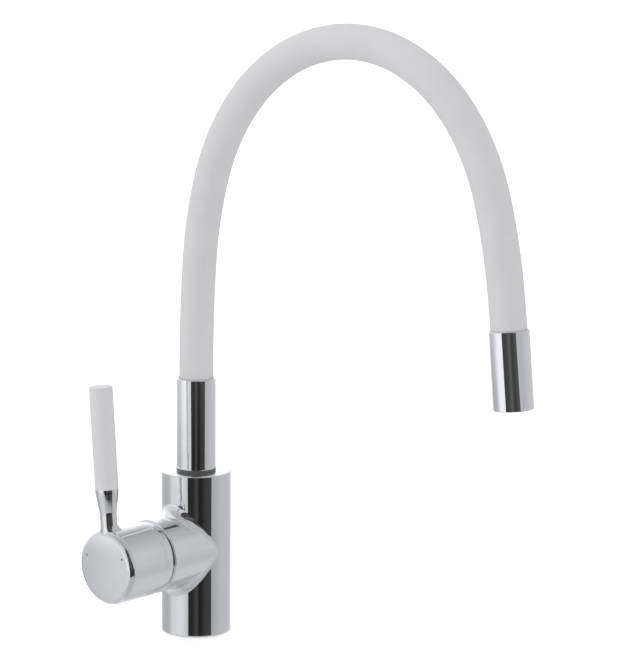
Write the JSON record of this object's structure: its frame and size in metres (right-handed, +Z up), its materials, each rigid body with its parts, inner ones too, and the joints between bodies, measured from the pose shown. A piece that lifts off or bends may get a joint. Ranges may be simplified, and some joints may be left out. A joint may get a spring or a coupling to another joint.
{
  "type": "flexible kitchen tap",
  "caption": "Single-lever kitchen mixer tap: chromed upright body, side cap with a white lever, and a white self-supporting flexible neck that swivels, bends and ends in a chromed nozzle.",
  "frame": {"origin": "centre of the body's flat underside, where it stands on the worktop or sink deck", "axes": "+Z up along the body; +X towards the nozzle at rest; the lever's arm points to -Y"},
  "size_m": [0.3162, 0.1129, 0.4281],
  "materials": {
    "chrome": "polished",
    "white_silicone": "matt",
    "white_grip": "matt",
    "steel": "plain",
    "brass": "machined",
    "black_plastic": "matt",
    "grey_plastic": "matt",
    "ceramic": "lapped",
    "black_rubber": "matt",
    "dot_grey": "satin"
  },
  "bodies": {
    "base": {"body_casting": "chrome", "base_seal": "black_rubber", "spout_lock_screw": "steel", "swivel_ring": "black_plastic", "cartridge_base": "grey_plastic", "port_gaskets": "black_rubber", "cartridge_housing": "grey_plastic", "fixed_disc": "ceramic", "cartridge_nut": "brass", "dome_ring": "chrome"},
    "cartridge_rotor": {"cartridge_carrier": "grey_plastic", "pivot_pin": "steel"},
    "disc_slider": {"moving_disc": "ceramic", "disc_carrier": "grey_plastic"},
    "handle": {"lever_spindle": "brass", "handle_cap": "chrome", "index_dots": "dot_grey", "handle_screw": "steel", "handle_screw_plug": "grey_plastic", "lever_grip": "white_grip"},
    "spout_base": {"spout_spigot": "brass", "spigot_seals": "black_rubber", "spigot_bush": "black_plastic", "collar": "chrome", "lower_ferrule": "brass", "neck_sleeve_0": "white_silicone", "neck_core_0": "steel"},
    "neck_link_1": {"neck_sleeve_1": "white_silicone", "neck_core_1": "steel"},
    "neck_link_2": {"neck_sleeve_2": "white_silicone", "neck_core_2": "steel"},
    "neck_link_3": {"neck_sleeve_3": "white_silicone", "neck_core_3": "steel"},
    "neck_link_4": {"neck_sleeve_4": "white_silicone", "neck_core_4": "steel"},
    "neck_link_5": {"neck_sleeve_5": "white_silicone", "neck_core_5": "steel"},
    "neck_link_6": {"neck_sleeve_6": "white_silicone", "neck_core_6": "steel"},
    "neck_link_7": {"neck_sleeve_7": "white_silicone", "neck_core_7": "steel"},
    "neck_link_8": {"neck_sleeve_8": "white_silicone", "neck_core_8": "steel"},
    "neck_link_9": {"neck_sleeve_9": "white_silicone", "neck_core_9": "steel"},
    "nozzle": {"neck_sleeve_10": "white_silicone", "neck_core_10": "steel", "nozzle_shell": "chrome", "upper_ferrule": "brass", "nozzle_adapter": "brass", "aerator_gasket": "black_rubber", "aerator_housing": "grey_plastic", "flow_regulator": "grey_plastic", "aerator_screen": "grey_plastic"}
  },
  "joints": [
    {"name": "lever_turn", "type": "hinge", "parent": "base", "child": "cartridge_rotor", "pos_m": [0, -0.0505, 0.06], "axis": [0, -1, 0], "range_deg": [-49.5, 40.5]},
    {"name": "lever_tilt", "type": "hinge", "parent": "cartridge_rotor", "child": "handle", "pos_m": [0, -0.0505, 0.06], "axis": [0.9969, 0, 0.0785], "range_deg": [0, 20]},
    {"name": "disc_slide", "type": "slide", "parent": "cartridge_rotor", "child": "disc_slider", "axis": [-0.0785, 0, 0.9969], "range_m": [0, 0.0047]},
    {"name": "spout_swivel", "type": "hinge", "parent": "base", "child": "spout_base", "pos_m": [0, 0, 0.1], "axis": [0, 0, 1], "continuous": true},
    {"name": "neck_bend", "type": "hinge", "parent": "spout_base", "child": "neck_link_1", "pos_m": [0.00039, 0, 0.20595], "axis": [0, 1, 0], "range_deg": [-16, 6], "deforming": ["neck_sleeve_0", "neck_sleeve_1"]},
    {"name": "neck_sway", "type": "hinge", "parent": "neck_link_1", "child": "neck_link_2", "pos_m": [0.00333, 0, 0.26116], "axis": [0.9962, 0, -0.0872], "range_deg": [-12, 12], "deforming": ["neck_sleeve_2"]},
    {"name": "neck_bend_3", "type": "hinge", "parent": "neck_link_2", "child": "neck_link_3", "pos_m": [0.01368, 0, 0.31539], "axis": [0, 1, 0], "range_deg": [-16, 6], "deforming": ["neck_sleeve_3"]},
    {"name": "neck_sway_4", "type": "hinge", "parent": "neck_link_3", "child": "neck_link_4", "pos_m": [0.03869, 0, 0.36436], "axis": [0.7934, 0, -0.6088], "range_deg": [-12, 12], "deforming": ["neck_sleeve_4"]},
    {"name": "neck_bend_5", "type": "hinge", "parent": "neck_link_4", "child": "neck_link_5", "pos_m": [0.08023, 0, 0.40029], "axis": [0, 1, 0], "range_deg": [-16, 6], "deforming": ["neck_sleeve_5"]},
    {"name": "neck_sway_6", "type": "hinge", "parent": "neck_link_5", "child": "neck_link_6", "pos_m": [0.13275, 0, 0.41619], "axis": [0.0785, 0, -0.9969], "range_deg": [-12, 12], "deforming": ["neck_sleeve_6"]},
    {"name": "neck_bend_7", "type": "hinge", "parent": "neck_link_6", "child": "neck_link_7", "pos_m": [0.18685, 0, 0.40757], "axis": [0, 1, 0], "range_deg": [-16, 6], "deforming": ["neck_sleeve_7"]},
    {"name": "neck_sway_8", "type": "hinge", "parent": "neck_link_7", "child": "neck_link_8", "pos_m": [0.23103, 0, 0.37518], "axis": [-0.7649, 0, -0.6441], "range_deg": [-12, 12], "deforming": ["neck_sleeve_8"]},
    {"name": "neck_bend_9", "type": "hinge", "parent": "neck_link_8", "child": "neck_link_9", "pos_m": [0.25728, 0, 0.32694], "axis": [0, 1, 0], "range_deg": [-16, 6], "deforming": ["neck_sleeve_9"]},
    {"name": "neck_sway_10", "type": "hinge", "parent": "neck_link_9", "child": "nozzle", "pos_m": [0.26928, 0, 0.27301], "axis": [-0.99, 0, -0.1409], "range_deg": [-12, 12], "deforming": ["neck_sleeve_10"]}
  ],
  "couplings": [
    {"joint": "disc_slide", "follows": "lever_tilt", "m_per_rad": 0.0132},
    {"joint": "neck_bend_3", "follows": "neck_bend", "ratio": 1},
    {"joint": "neck_sway_4", "follows": "neck_sway", "ratio": 1},
    {"joint": "neck_bend_5", "follows": "neck_bend", "ratio": 1},
    {"joint": "neck_sway_6", "follows": "neck_sway", "ratio": 1},
    {"joint": "neck_bend_7", "follows": "neck_bend", "ratio": 1},
    {"joint": "neck_sway_8", "follows": "neck_sway", "ratio": 1},
    {"joint": "neck_bend_9", "follows": "neck_bend", "ratio": 1},
    {"joint": "neck_sway_10", "follows": "neck_sway", "ratio": 1}
  ]
}
